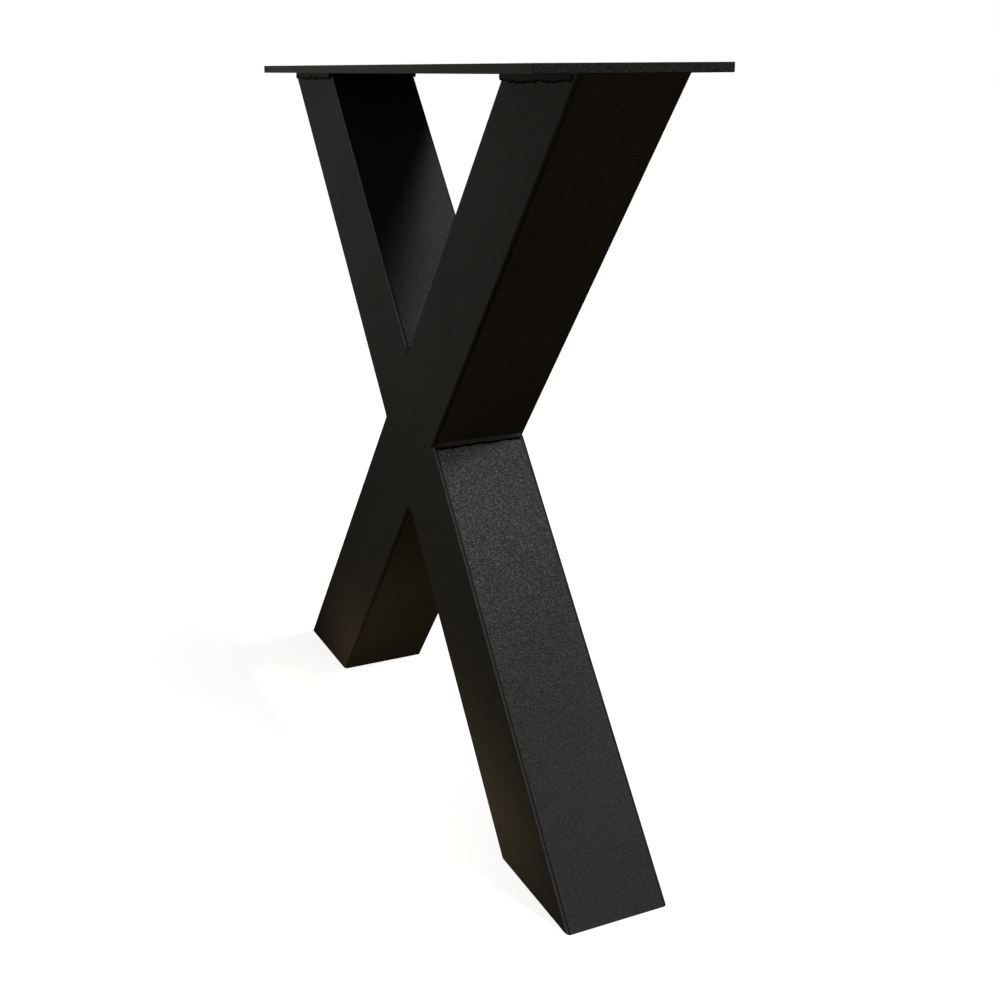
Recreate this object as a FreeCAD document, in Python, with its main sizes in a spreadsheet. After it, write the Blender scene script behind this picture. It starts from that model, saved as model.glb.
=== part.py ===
import FreeCAD, Part
import math
import os

import Sketcher

# X-shaped table leg of welded square tube under a long mounting plate.
# Millimetres. X runs along the plate, Y through its depth, +Z up. The origin is on the floor,
# below the crossing of the two tubes and halfway through their depth.

DRIVING = {
    "overall_height": 720,
    "overall_length": 684,
    "plate_thickness": 8,
    "plate_overhang": 38,
    "plate_edge_radius": 0.8,
    "hole_diameter": 9,
    "hole_end_margin": 42,
    "holes_per_row": 4,
    "tube_width": 100,
    "tube_wall": 3,
    "corner_radius": 4,
    "inner_corner_radius": 1,
    "foot_plate_thickness": 3,
    "plate_bead": 5,
    "joint_bead": 5,
    "joint_bead_face_radius": 7,
    "joint_bead_setback": 1,
    "seam_fill_edge": 0.6,
}

DERIVED = {
    "leg_height": "overall_height - plate_thickness",
    "crossing_height": "leg_height / 2",
    "lean": "acos(tube_width / sqrt(overall_length ^ 2 + leg_height ^ 2)) - atan(leg_height / overall_length)",
    "arm_length": "crossing_height / cos(lean)",
    "foot_offset": "crossing_height * tan(lean)",
    "half_width": "tube_width / 2",
    "half_inside": "tube_width / 2 - tube_wall",
    "cut_rise": "half_width * tan(lean)",
    "joint_reach": "half_width / tan(lean)",
    "half_footprint": "half_width / cos(lean)",
    "plate_depth": "tube_width + 2 * plate_overhang",
    "hole_pitch": "(overall_length - 2 * hole_end_margin) / (holes_per_row - 1)",
    "hole_row_spacing": "tube_width + plate_overhang",
    "plate_bead_shift": "plate_bead * tan(lean)",
    "seam_fill_depth": "corner_radius - seam_fill_edge",
}

doc = FreeCAD.newDocument("x_table_leg")
nodes = []


def make_sheet():
    """The driving dimensions as plain numbers, and under them what follows from them."""
    sheet = doc.addObject("Spreadsheet::Sheet", "dims")
    row = 1
    for alias, value in {**DRIVING, **{k: "=" + v for k, v in DERIVED.items()}}.items():
        sheet.set(f"A{row}", alias)
        sheet.set(f"B{row}", str(value))
        sheet.setAlias(f"B{row}", alias)
        row += 1
    doc.recompute()
    return sheet


def bound(expression):
    """The expression with every alias read from the sheet."""
    words = sorted([*DRIVING, *DERIVED], key=len, reverse=True)
    for place, word in enumerate(words):
        expression = expression.replace(word, f"<{place}>")
    for place, word in enumerate(words):
        expression = expression.replace(f"<{place}>", f"dims.{word}")
    return expression


def number(obj, expression):
    """The expression's present value as a float."""
    value = obj.evalExpression(bound(expression))
    return float(getattr(value, "Value", value))


def new_body(name, x="0", z="0", turn_y="0", turn_z="0"):
    """A body that is a node of its own, placed at (x, 0, z) and turned about Y, or about Z."""
    body = doc.addObject("PartDesign::Body", name)
    body.Label = name
    axis = FreeCAD.Vector(0, 0, 1) if turn_z != "0" else FreeCAD.Vector(0, 1, 0)
    body.Placement = FreeCAD.Placement(FreeCAD.Vector(), FreeCAD.Rotation(axis, 0))
    body.setExpression("Placement.Base.x", bound(x))
    body.setExpression("Placement.Base.z", bound(z))
    body.setExpression("Placement.Rotation.Angle", bound(turn_z if turn_z != "0" else turn_y))
    nodes.append(body)
    return body


def new_sketch(body, name, role, height="0"):
    """A sketch on one of the body's origin planes, raised along the plane's normal."""
    sketch = body.newObject("Sketcher::SketchObject", name)
    plane = next(f for f in body.Origin.OriginFeatures if f.Role == role)
    sketch.AttachmentSupport = [(plane, "")]
    sketch.MapMode = "FlatFace"
    sketch.setExpression("AttachmentOffset.Base.z", bound(height))
    return sketch


def fix_point(sketch, geometry, end, corner):
    """Holds one end of a line or arc at the two expressions of corner."""
    for kind, expression in zip(("DistanceX", "DistanceY"), corner):
        value = number(sketch, expression)
        place = sketch.addConstraint(Sketcher.Constraint(kind, geometry, end, value))
        sketch.setExpression(f"Constraints[{place}]", bound(expression))


def add_outline(sketch, corners):
    """A closed outline of straight lines through the corners, each a pair of expressions."""
    points = [FreeCAD.Vector(*[number(sketch, e) for e in corner], 0) for corner in corners]
    first = sketch.GeometryCount
    count = len(points)
    for i in range(count):
        sketch.addGeometry(Part.LineSegment(points[i], points[(i + 1) % count]), False)
    for i in range(count):
        sketch.addConstraint(Sketcher.Constraint("Coincident", first + i, 2, first + (i + 1) % count, 1))
        fix_point(sketch, first + i, 1, corners[i])


def add_rectangle(sketch, x_low, x_high, y_half):
    """An upright rectangle between two x expressions, as deep on both sides of the X axis."""
    add_outline(sketch, [
        (x_low, f"-({y_half})"),
        (x_high, f"-({y_half})"),
        (x_high, y_half),
        (x_low, y_half),
    ])


def pad(body, sketch, length, symmetric):
    """The sketch padded to a length, either up from its plane or to both sides of it."""
    feature = body.newObject("PartDesign::Pad", sketch.Name + "_pad")
    feature.Profile = sketch
    feature.SideType = "Symmetric" if symmetric else "One side"
    feature.setExpression("Length", bound(length))
    doc.recompute()
    return feature


def pocket(body, sketch, length):
    """The sketch cut to both sides of its plane; something must come off."""
    before = body.Shape.Volume
    feature = body.newObject("PartDesign::Pocket", sketch.Name + "_pocket")
    feature.Profile = sketch
    feature.SideType = "Symmetric"
    feature.setExpression("Length", bound(length))
    doc.recompute()
    if body.Shape.Volume >= before:
        raise RuntimeError(f"{feature.Label} cuts nothing")
    return feature


def fillet(body, base, radius, chosen):
    """Rounds those of the base feature's edges that chosen() accepts."""
    feature = body.newObject("PartDesign::Fillet", base.Name + "_round")
    names = [f"Edge{i + 1}" for i, edge in enumerate(base.Shape.Edges) if chosen(edge)]
    feature.Base = (base, names)
    feature.setExpression("Radius", bound(radius))
    doc.recompute()
    return feature


def along(edge, axis):
    """True for a straight edge that runs along the axis, either way."""
    run = edge.Vertexes[-1].Point - edge.Vertexes[0].Point
    return run.Length > 0 and run.cross(axis).Length < 1e-6 * run.Length


def make_mounting_plate():
    """Flat steel plate with two rows of screw holes, clear of the tubes and their welds."""
    body = new_body("mounting_plate", z="leg_height")
    outline = new_sketch(body, "plate_outline", "XY_Plane")
    add_rectangle(outline, "-overall_length / 2", "overall_length / 2", "plate_depth / 2")
    slab = pad(body, outline, "plate_thickness", False)
    fillet(body, slab, "plate_edge_radius", lambda edge: True)
    hole = new_sketch(body, "plate_hole", "XY_Plane")
    for side in ("-", ""):
        circle = hole.addGeometry(Part.Circle(FreeCAD.Vector(), FreeCAD.Vector(0, 0, 1), 1), False)
        size = hole.addConstraint(Sketcher.Constraint("Diameter", circle, number(hole, "hole_diameter")))
        hole.setExpression(f"Constraints[{size}]", bound("hole_diameter"))
        first = ("hole_end_margin - overall_length / 2", f"{side}hole_row_spacing / 2")
        fix_point(hole, circle, 3, first)
    cut = pocket(body, hole, "3 * plate_thickness")
    rows = body.newObject("PartDesign::LinearPattern", "plate_hole_rows")
    rows.Originals = [cut]
    rows.Direction = (hole, ["H_Axis"])
    rows.Mode = "Spacing"
    rows.setExpression("Offset", bound("hole_pitch"))
    rows.setExpression("Occurrences", bound("holes_per_row"))
    body.Tip = rows
    doc.recompute()


def hollow_tube(body, corners):
    """Square hollow section: the elevation padded through its depth, rounded and bored along Z."""
    elevation = new_sketch(body, body.Name + "_elevation", "XZ_Plane")
    add_outline(elevation, corners)
    blank = pad(body, elevation, "tube_width", True)
    axis = FreeCAD.Vector(0, 0, 1)
    fillet(body, blank, "corner_radius", lambda edge: along(edge, axis))
    bore = new_sketch(body, body.Name + "_bore", "XZ_Plane")
    reach = "2 * arm_length"
    add_outline(bore, [
        ("-half_inside", f"-{reach}"),
        ("half_inside", f"-{reach}"),
        ("half_inside", reach),
        ("-half_inside", reach),
    ])
    hollow = pocket(body, bore, "2 * half_inside")
    half = number(body, "half_inside")

    def inner_corner(edge):
        at = edge.CenterOfMass
        return along(edge, axis) and abs(abs(at.x) - half) < 1e-4 and abs(abs(at.y) - half) < 1e-4

    fillet(body, hollow, "inner_corner_radius", inner_corner)


def make_long_tube():
    """The tube that runs through the crossing, from the left foot to the plate's right end."""
    body = new_body("long_tube", z="crossing_height", turn_y="lean")
    hollow_tube(body, [
        ("-half_width", "-arm_length - cut_rise"),
        ("half_width", "-arm_length + cut_rise"),
        ("half_width", "arm_length + cut_rise"),
        ("-half_width", "arm_length - cut_rise"),
    ])


def make_half_tube(name, turn):
    """A tube from the long tube's side face to the plate or the floor; both halves are alike."""
    body = new_body(name, z="crossing_height", turn_y=turn)
    hollow_tube(body, [
        ("-half_width", "cut_rise"),
        ("half_width", "joint_reach"),
        ("half_width", "arm_length - cut_rise"),
        ("-half_width", "arm_length + cut_rise"),
    ])


def make_foot_plate(name, x, turn):
    """Closing plate let into the open end of a foot, level with the floor."""
    body = new_body(name, x=x, turn_z=turn)
    section = new_sketch(body, name + "_section", "XZ_Plane")
    half = "half_inside / cos(lean)"
    shift = "foot_plate_thickness * tan(lean)"
    add_outline(section, [
        (f"-{half}", "0"),
        (half, "0"),
        (f"{half} + {shift}", "foot_plate_thickness"),
        (f"-{half} + {shift}", "foot_plate_thickness"),
    ])
    blank = pad(body, section, "2 * half_inside", True)
    lean = math.radians(number(body, "lean"))
    axis = FreeCAD.Vector(math.sin(lean), 0, math.cos(lean))
    fillet(body, blank, "inner_corner_radius", lambda edge: along(edge, axis))


def make_plate_weld(name, x, turn):
    """Fillet weld round three sides of a tube's top end, against the plate's underside."""
    body = new_body(name, x=x, z="leg_height", turn_z=turn)
    outer_top = new_sketch(body, name + "_outer_top", "XY_Plane")
    add_rectangle(outer_top, "-half_footprint - plate_bead", "half_footprint", "half_width + plate_bead")
    outer_low = new_sketch(body, name + "_outer_low", "XY_Plane", "-plate_bead")
    low_inner = "-half_footprint - plate_bead_shift"
    add_rectangle(outer_low, low_inner, "half_footprint - plate_bead_shift", "half_width")
    metal = body.newObject("PartDesign::AdditiveLoft", name + "_metal")
    metal.Profile = outer_top
    metal.Sections = [outer_low]
    doc.recompute()
    before = body.Shape.Volume
    tube_top = new_sketch(body, name + "_tube_top", "XY_Plane")
    add_rectangle(tube_top, "-half_footprint", "half_footprint + plate_bead", "half_width")
    tube_low = new_sketch(body, name + "_tube_low", "XY_Plane", "-plate_bead")
    add_rectangle(tube_low, low_inner, "half_footprint + plate_bead - plate_bead_shift", "half_width")
    space = body.newObject("PartDesign::SubtractiveLoft", name + "_tube_space")
    space.Profile = tube_top
    space.Sections = [tube_low]
    doc.recompute()
    if body.Shape.Volume >= before:
        raise RuntimeError(f"{name} is not cut by its tube")


def make_joint_weld(name, x, z, turn, half_angle):
    """Fillet weld in a corner between the tubes; half_angle is from the corner's middle to a face."""
    body = new_body(name, x=x, z=z, turn_y=turn)
    section = new_sketch(body, name + "_section", "XZ_Plane")
    leg = number(section, "joint_bead")
    angle = math.radians(number(section, half_angle))
    radius = number(section, "joint_bead_face_radius")
    toe = FreeCAD.Vector(leg * math.cos(angle), leg * math.sin(angle), 0)
    low_toe = FreeCAD.Vector(toe.x, -toe.y, 0)
    spread = math.asin(toe.y / radius)
    centre = FreeCAD.Vector(toe.x - radius * math.cos(spread), 0, 0)
    face = Part.Circle(centre, FreeCAD.Vector(0, 0, 1), radius)
    section.addGeometry(Part.LineSegment(FreeCAD.Vector(), toe), False)
    section.addGeometry(Part.ArcOfCircle(face, -spread, spread), False)
    section.addGeometry(Part.LineSegment(low_toe, FreeCAD.Vector()), False)
    for first, end, second, start in ((0, 2, 1, 2), (1, 1, 2, 1), (2, 2, 0, 1)):
        section.addConstraint(Sketcher.Constraint("Coincident", first, end, second, start))
    fix_point(section, 0, 1, ("0", "0"))
    fix_point(section, 0, 2, (f"joint_bead * cos({half_angle})", f"joint_bead * sin({half_angle})"))
    fix_point(section, 2, 1, (f"joint_bead * cos({half_angle})", f"-joint_bead * sin({half_angle})"))
    size = section.addConstraint(Sketcher.Constraint("Radius", 1, radius))
    section.setExpression(f"Constraints[{size}]", bound("joint_bead_face_radius"))
    pad(body, section, "tube_width - 2 * joint_bead_setback", True)


def make_seam_weld(name, turn, side):
    """Weld ground level with the tubes' faces, in the groove along the long tube's rounded edge.

    side is "-" for the front face and "" for the back one.
    """
    body = new_body(name, z="crossing_height", turn_y=turn)
    section = new_sketch(body, name + "_section", "XY_Plane", "-cut_rise + corner_radius / sin(2 * lean)")
    sign = -1 if side else 1
    width = number(section, "half_width")
    radius = number(section, "corner_radius")
    depth = number(section, "seam_fill_depth")
    sag = radius - math.sqrt(radius ** 2 - (radius - depth) ** 2)
    corner = FreeCAD.Vector(-width, sign * width, 0)
    on_face = corner + FreeCAD.Vector(depth, 0, 0)
    on_side = corner + FreeCAD.Vector(0, -sign * depth, 0)
    face_end = on_face + FreeCAD.Vector(0, -sign * sag, 0)
    side_end = on_side + FreeCAD.Vector(sag, 0, 0)
    middle = corner + FreeCAD.Vector(radius, -sign * radius, 0)
    halfway = middle + FreeCAD.Vector(-radius, sign * radius, 0) * math.sqrt(0.5)
    for first, last in ((corner, on_face), (on_face, face_end), (side_end, on_side), (on_side, corner)):
        section.addGeometry(Part.LineSegment(first, last), False)
    arc = section.addGeometry(Part.Arc(face_end, halfway, side_end), False)
    # An arc keeps its own start where the turn is anticlockwise, which depends on the side.
    start_at_face = section.getPoint(arc, 1).distanceToPoint(face_end) < 1e-6
    ends = (1, 2) if start_at_face else (2, 1)
    joins = ((0, 2, 1, 1), (1, 2, arc, ends[0]), (arc, ends[1], 2, 1), (2, 2, 3, 1), (3, 2, 0, 1))
    for first, end, second, start in joins:
        section.addConstraint(Sketcher.Constraint("Coincident", first, end, second, start))
    fix_point(section, 0, 1, ("-half_width", f"{side}half_width"))
    fix_point(section, 1, 1, ("-half_width + seam_fill_depth", f"{side}half_width"))
    fix_point(section, 3, 1, ("-half_width", f"{side}(half_width - seam_fill_depth)"))
    section.addConstraint(Sketcher.Constraint("Vertical", 1))
    section.addConstraint(Sketcher.Constraint("Horizontal", 2))
    fix_point(section, arc, 3, ("-half_width + corner_radius", f"{side}(half_width - corner_radius)"))
    size = section.addConstraint(Sketcher.Constraint("Radius", arc, radius))
    section.setExpression(f"Constraints[{size}]", bound("corner_radius"))
    pad(body, section, "cut_rise + joint_reach - 2 * corner_radius / sin(2 * lean)", False)


def check_document():
    """Stops if any feature failed, or a node's shape is empty or not valid."""
    doc.recompute()
    for obj in doc.Objects:
        if "Invalid" in obj.State or "Error" in obj.State:
            raise RuntimeError(f"{obj.Label} failed: {obj.State}")
    for node in nodes:
        if node.Shape.isNull() or not node.Shape.isValid() or len(node.Shape.Solids) != 1:
            raise RuntimeError(f"{node.Label} is not one valid solid")


def write_nodes():
    """One STEP file for each node, named after it."""
    os.makedirs("parts", exist_ok=True)
    for node in nodes:
        node.Shape.exportStep(f"parts/{node.Label}.step")
        box = node.Shape.BoundBox
        print(f"{node.Label}: {node.Shape.Volume / 1000:.1f} cm3, x {box.XMin:.1f} to {box.XMax:.1f},"
              f" y {box.YMin:.1f} to {box.YMax:.1f}, z {box.ZMin:.1f} to {box.ZMax:.1f}")


make_sheet()
make_mounting_plate()
make_long_tube()
make_half_tube("upper_half_tube", "-lean")
make_half_tube("lower_half_tube", "180 deg - lean")
make_foot_plate("left_foot_plate", "-foot_offset", "0")
make_foot_plate("right_foot_plate", "foot_offset", "180 deg")
make_plate_weld("right_plate_weld", "foot_offset", "0")
make_plate_weld("left_plate_weld", "-foot_offset", "180 deg")
make_joint_weld("right_waist_weld", "half_footprint", "crossing_height", "0", "90 deg - lean")
make_joint_weld("left_waist_weld", "-half_footprint", "crossing_height", "180 deg", "90 deg - lean")
make_joint_weld("upper_notch_weld", "0", "crossing_height + half_width / sin(lean)", "-90 deg", "lean")
make_joint_weld("lower_notch_weld", "0", "crossing_height - half_width / sin(lean)", "90 deg", "lean")
for face, sign in (("front", "-"), ("back", "")):
    make_seam_weld(f"{face}_upper_seam_weld", "lean", sign)
    make_seam_weld(f"{face}_lower_seam_weld", "180 deg + lean", sign)
check_document()
write_nodes()
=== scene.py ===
"""Dressed scene of an X-shaped table leg: welded square steel tube under a mounting plate.

Lengths are in metres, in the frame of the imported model: X runs along the mounting plate,
Y through its depth and Z up from the floor.
"""
from __future__ import annotations

import logging
import math
import random
from collections.abc import Callable
from dataclasses import dataclass
from enum import Enum

import bpy
from mathutils import Euler, Matrix, Vector


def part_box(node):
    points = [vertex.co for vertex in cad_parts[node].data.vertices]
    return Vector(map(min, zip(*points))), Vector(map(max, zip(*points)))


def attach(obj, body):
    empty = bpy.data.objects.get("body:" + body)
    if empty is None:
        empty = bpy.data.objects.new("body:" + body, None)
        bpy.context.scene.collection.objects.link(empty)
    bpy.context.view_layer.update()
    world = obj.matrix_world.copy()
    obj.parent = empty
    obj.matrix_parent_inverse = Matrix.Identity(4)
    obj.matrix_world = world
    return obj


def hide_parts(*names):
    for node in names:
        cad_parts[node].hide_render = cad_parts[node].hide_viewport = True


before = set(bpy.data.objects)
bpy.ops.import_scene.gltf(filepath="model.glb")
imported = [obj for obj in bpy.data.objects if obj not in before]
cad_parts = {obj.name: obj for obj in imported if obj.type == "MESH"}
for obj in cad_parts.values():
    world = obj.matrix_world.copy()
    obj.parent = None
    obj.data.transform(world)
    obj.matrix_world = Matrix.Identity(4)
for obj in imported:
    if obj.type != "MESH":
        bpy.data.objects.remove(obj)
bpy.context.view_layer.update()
BODY = "root"
UP = Vector((0.0, 0.0, 1.0))
logging.basicConfig(level=logging.INFO, format="%(message)s")
log = logging.getLogger("x_table_leg")
Piece = bpy.types.Object
Socket = bpy.types.NodeSocket


class Pick(Enum):
    """What a selection in edit mode takes hold of."""

    VERTICES = "VERT"
    EDGES = "EDGE"
    FACES = "FACE"


class Slot(Enum):
    """The record's material slots."""

    TUBE = "powder_coated_steel"
    PLATE = "powder_coated_plate"
    WELD = "powder_coated_weld"


def clear_selection() -> None:
    """Leave edit mode and deselect every object."""
    if bpy.context.object and bpy.context.object.mode != "OBJECT":
        bpy.ops.object.mode_set(mode="OBJECT")
    bpy.ops.object.select_all(action="DESELECT")


def take_up(piece: Piece) -> None:
    """Make one object the active and only selected one."""
    clear_selection()
    piece.select_set(True)
    bpy.context.view_layer.objects.active = piece


def box_blank(name: str, size: Vector, centre: Vector) -> Piece:
    """Add a box with its place and size in its mesh.

    Args:
        name: The new object's name.
        size: Its lengths along X, Y and Z.
        centre: The middle of the box.

    Returns:
        The new object, selected and active.
    """
    clear_selection()
    bpy.ops.mesh.primitive_cube_add(size=1, location=centre, scale=size)
    blank = bpy.context.object
    blank.name = name
    bpy.ops.object.transform_apply()
    return blank


def pick(piece: Piece, kind: Pick, wanted: Callable[..., bool]) -> None:
    """Select the elements of a piece that pass a test, and stay in edit mode.

    Args:
        piece: The active object.
        kind: Vertices, edges or faces.
        wanted: The test that each element of the mesh is put to.
    """
    if piece.mode != "EDIT":
        bpy.ops.object.mode_set(mode="EDIT")
    bpy.ops.mesh.select_mode(type=kind.value)
    bpy.ops.mesh.select_all(action="DESELECT")
    bpy.ops.object.mode_set(mode="OBJECT")
    mesh = piece.data
    elements = {Pick.VERTICES: mesh.vertices, Pick.EDGES: mesh.edges, Pick.FACES: mesh.polygons}
    for element in elements[kind]:
        element.select = wanted(element)
    bpy.ops.object.mode_set(mode="EDIT")


def edge_ends(piece: Piece, edge: bpy.types.MeshEdge) -> tuple[Vector, Vector]:
    """Return the places of an edge's two vertices."""
    first, last = edge.vertices
    return piece.data.vertices[first].co, piece.data.vertices[last].co


def trim(point: Vector, outward: Vector) -> None:
    """Cut the mesh in edit mode at a plane, drop what lies outward and close the cut.

    Args:
        point: Any point of the plane.
        outward: The plane's normal, towards what is dropped.
    """
    bpy.ops.mesh.select_all(action="SELECT")
    bpy.ops.mesh.bisect(plane_co=point, plane_no=outward, use_fill=True, clear_outer=True,
                        threshold=1e-6)


def finish_shape(piece: Piece, smooth_below: float) -> None:
    """Weld doubles, turn faces outward and shade a piece by the angle of its edges.

    Args:
        piece: The piece to finish.
        smooth_below: Edges flatter than this, in degrees, are shaded smooth.
    """
    take_up(piece)
    bpy.ops.object.mode_set(mode="EDIT")
    bpy.ops.mesh.select_all(action="SELECT")
    bpy.ops.mesh.remove_doubles(threshold=1e-6)
    bpy.ops.mesh.normals_make_consistent(inside=False)
    bpy.ops.object.mode_set(mode="OBJECT")
    bpy.ops.object.shade_smooth_by_angle(angle=math.radians(smooth_below))
    even = piece.modifiers.new("even_normals", "WEIGHTED_NORMAL")
    even.keep_sharp = True
    bpy.ops.object.modifier_apply(modifier=even.name)


@dataclass(frozen=True)
class LegSizes:
    """The leg's sizes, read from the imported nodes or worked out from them.

    Attributes:
        length: Along X, of the plate and of the spread feet.
        leg_height: From the floor to the plate's underside.
        tube_width: The square tube's outer width.
        wall: The tube's wall.
        corner_radius: The rounding of the tube's outer corners.
    """

    length: float
    leg_height: float
    tube_width: float
    wall: float
    corner_radius: float = 0.004

    @classmethod
    def from_frame(cls) -> LegSizes:
        """Read the sizes from the nodes' boxes."""
        plate_low, plate_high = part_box("mounting_plate")
        tube_low, tube_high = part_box("long_tube")
        inner_low, inner_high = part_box("left_foot_plate")
        width = tube_high.y - tube_low.y
        wall = (width - (inner_high.y - inner_low.y)) / 2
        return cls(plate_high.x - plate_low.x, plate_low.z, width, wall)

    @property
    def lean(self) -> float:
        """The tubes' angle from upright, at which they span the plate's length."""
        reach = math.hypot(self.length, self.leg_height)
        return math.acos(self.tube_width / reach) - math.atan2(self.leg_height, self.length)

    @property
    def crossing(self) -> Vector:
        """The point where the tubes' middle lines cross."""
        return UP * (self.leg_height / 2)

    @property
    def foot_offset(self) -> float:
        """How far a foot's middle lies from the crossing, along X."""
        return self.leg_height / 2 * math.tan(self.lean)

    @property
    def half_footprint(self) -> float:
        """Half of a level cut through a tube, along X."""
        return self.tube_width / 2 / math.cos(self.lean)


class ShaderTree:
    """A node tree with short ways to add and join its nodes."""

    def __init__(self, tree: bpy.types.NodeTree) -> None:
        """Take over an empty or used tree."""
        self.base = tree

    def add(self, kind: str, **settings: object) -> bpy.types.Node:
        """Add a node.

        Args:
            kind: The node's type.
            **settings: Its properties, and its unlinked inputs by their names with _ for spaces.

        Returns:
            The new node.
        """
        node = self.base.nodes.new(kind)
        for key, value in settings.items():
            label = key.replace("_", " ")
            if label in node.inputs:
                node.inputs[label].default_value = value
            else:
                setattr(node, key, value)
        return node

    def join(self, source: Socket, target: Socket) -> None:
        """Link an output to an input."""
        self.base.links.new(source, target)

    def spread(self, value: Socket, low: float, high: float, to_low: float,
               to_high: float) -> Socket:
        """Map a value from one range to another, held at its ends.

        Args:
            value: The socket to map.
            low: Its lowest value.
            high: Its highest value.
            to_low: What the lowest becomes.
            to_high: What the highest becomes.

        Returns:
            The mapped value's socket.
        """
        node = self.add("ShaderNodeMapRange")
        self.join(value, node.inputs["Value"])
        ends = {"From Min": low, "From Max": high, "To Min": to_low, "To Max": to_high}
        for label, number in ends.items():
            node.inputs[label].default_value = number
        return node.outputs["Result"]

    def work(self, operation: str, first: object, second: object) -> Socket:
        """Combine two values, each a socket or a number.

        Args:
            operation: The Math node's operation.
            first: The first value.
            second: The second value.

        Returns:
            The result's socket.
        """
        node = self.add("ShaderNodeMath", operation=operation)
        for place, value in enumerate((first, second)):
            if isinstance(value, Socket):
                self.join(value, node.inputs[place])
            else:
                node.inputs[place].default_value = value
        return node.outputs[0]

    def blend(self, factor: Socket, first: object, second: object) -> Socket:
        """Mix two colours, each a socket or three numbers.

        Args:
            factor: How much of the second colour shows.
            first: The colour at factor 0.
            second: The colour at factor 1.

        Returns:
            The mixed colour's socket.
        """
        node = self.add("ShaderNodeMix", data_type="RGBA")
        self.join(factor, node.inputs["Factor"])
        for label, value in (("A", first), ("B", second)):
            socket = next(s for s in node.inputs if s.name == label and s.type == "RGBA")
            if isinstance(value, Socket):
                self.join(value, socket)
            else:
                socket.default_value = (*value, 1.0)
        return next(s for s in node.outputs if s.type == "RGBA")


def new_group(name: str, inputs: dict[str, float],
              outputs: list[str]) -> tuple[ShaderTree, bpy.types.NodeOutputs, bpy.types.NodeInputs]:
    """Make a shader node group with number sockets.

    Args:
        name: The group's name.
        inputs: Each input's name and first value.
        outputs: The outputs' names.

    Returns:
        The group's tree, the values given to it and the results it has to give.
    """
    group = bpy.data.node_groups.new(name, "ShaderNodeTree")
    for label, value in inputs.items():
        socket = group.interface.new_socket(label, in_out="INPUT", socket_type="NodeSocketFloat")
        socket.default_value = value
    for label in outputs:
        group.interface.new_socket(label, in_out="OUTPUT", socket_type="NodeSocketFloat")
    given = group.nodes.new("NodeGroupInput")
    result = group.nodes.new("NodeGroupOutput")
    return ShaderTree(group), given.outputs, result.inputs


def powder_grain_group() -> bpy.types.ShaderNodeTree:
    """Build the fine pebbled grain of a textured powder coat.

    Returns:
        A group that gives the grain's height and a slow cloudiness, both from 0 to 1.
    """
    tree, given, result = new_group(
        "powder_grain", {"Grain Size": 0.0012, "Cloud Size": 0.12}, ["Height", "Cloud"])
    where = tree.add("ShaderNodeTexCoord").outputs["Object"]
    per_metre = tree.work("DIVIDE", 1.0, given["Grain Size"])
    pebbles = tree.add("ShaderNodeTexNoise", Detail=3.0, Roughness=0.55)
    tree.join(where, pebbles.inputs["Vector"])
    tree.join(per_metre, pebbles.inputs["Scale"])
    pits = tree.add("ShaderNodeTexVoronoi", feature="SMOOTH_F1", Smoothness=0.6)
    tree.join(where, pits.inputs["Vector"])
    tree.join(tree.work("MULTIPLY", per_metre, 0.9), pits.inputs["Scale"])
    rounded = tree.spread(pits.outputs["Distance"], 0.0, 0.8, 1.0, 0.0)
    mixed = tree.work("ADD", tree.work("MULTIPLY", pebbles.outputs["Fac"], 0.65),
                      tree.work("MULTIPLY", rounded, 0.35))
    tree.join(tree.spread(mixed, 0.3, 0.75, 0.0, 1.0), result["Height"])
    clouds = tree.add("ShaderNodeTexNoise", Detail=2.0, Roughness=0.5)
    tree.join(where, clouds.inputs["Vector"])
    tree.join(tree.work("DIVIDE", 1.0, given["Cloud Size"]), clouds.inputs["Scale"])
    tree.join(tree.spread(clouds.outputs["Fac"], 0.3, 0.7, 0.0, 1.0), result["Cloud"])
    return tree.base


def dust_speck_group() -> bpy.types.ShaderNodeTree:
    """Build the few pale specks that settle in a fresh coat.

    Returns:
        A group that gives a mask, 1 in a speck and 0 elsewhere.
    """
    tree, given, result = new_group(
        "dust_specks", {"Cell Size": 0.02, "Speck Radius": 0.035, "Share": 0.03}, ["Mask"])
    where = tree.add("ShaderNodeTexCoord").outputs["Object"]
    cells = tree.add("ShaderNodeTexVoronoi", feature="F1")
    tree.join(where, cells.inputs["Vector"])
    tree.join(tree.work("DIVIDE", 1.0, given["Cell Size"]), cells.inputs["Scale"])
    inside = tree.work("LESS_THAN", cells.outputs["Distance"], given["Speck Radius"])
    parts = tree.add("ShaderNodeSeparateColor")
    tree.join(cells.outputs["Color"], parts.inputs["Color"])
    chosen = tree.work("LESS_THAN", parts.outputs["Red"], given["Share"])
    tree.join(tree.work("MULTIPLY", inside, chosen), result["Mask"])
    return tree.base


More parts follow.
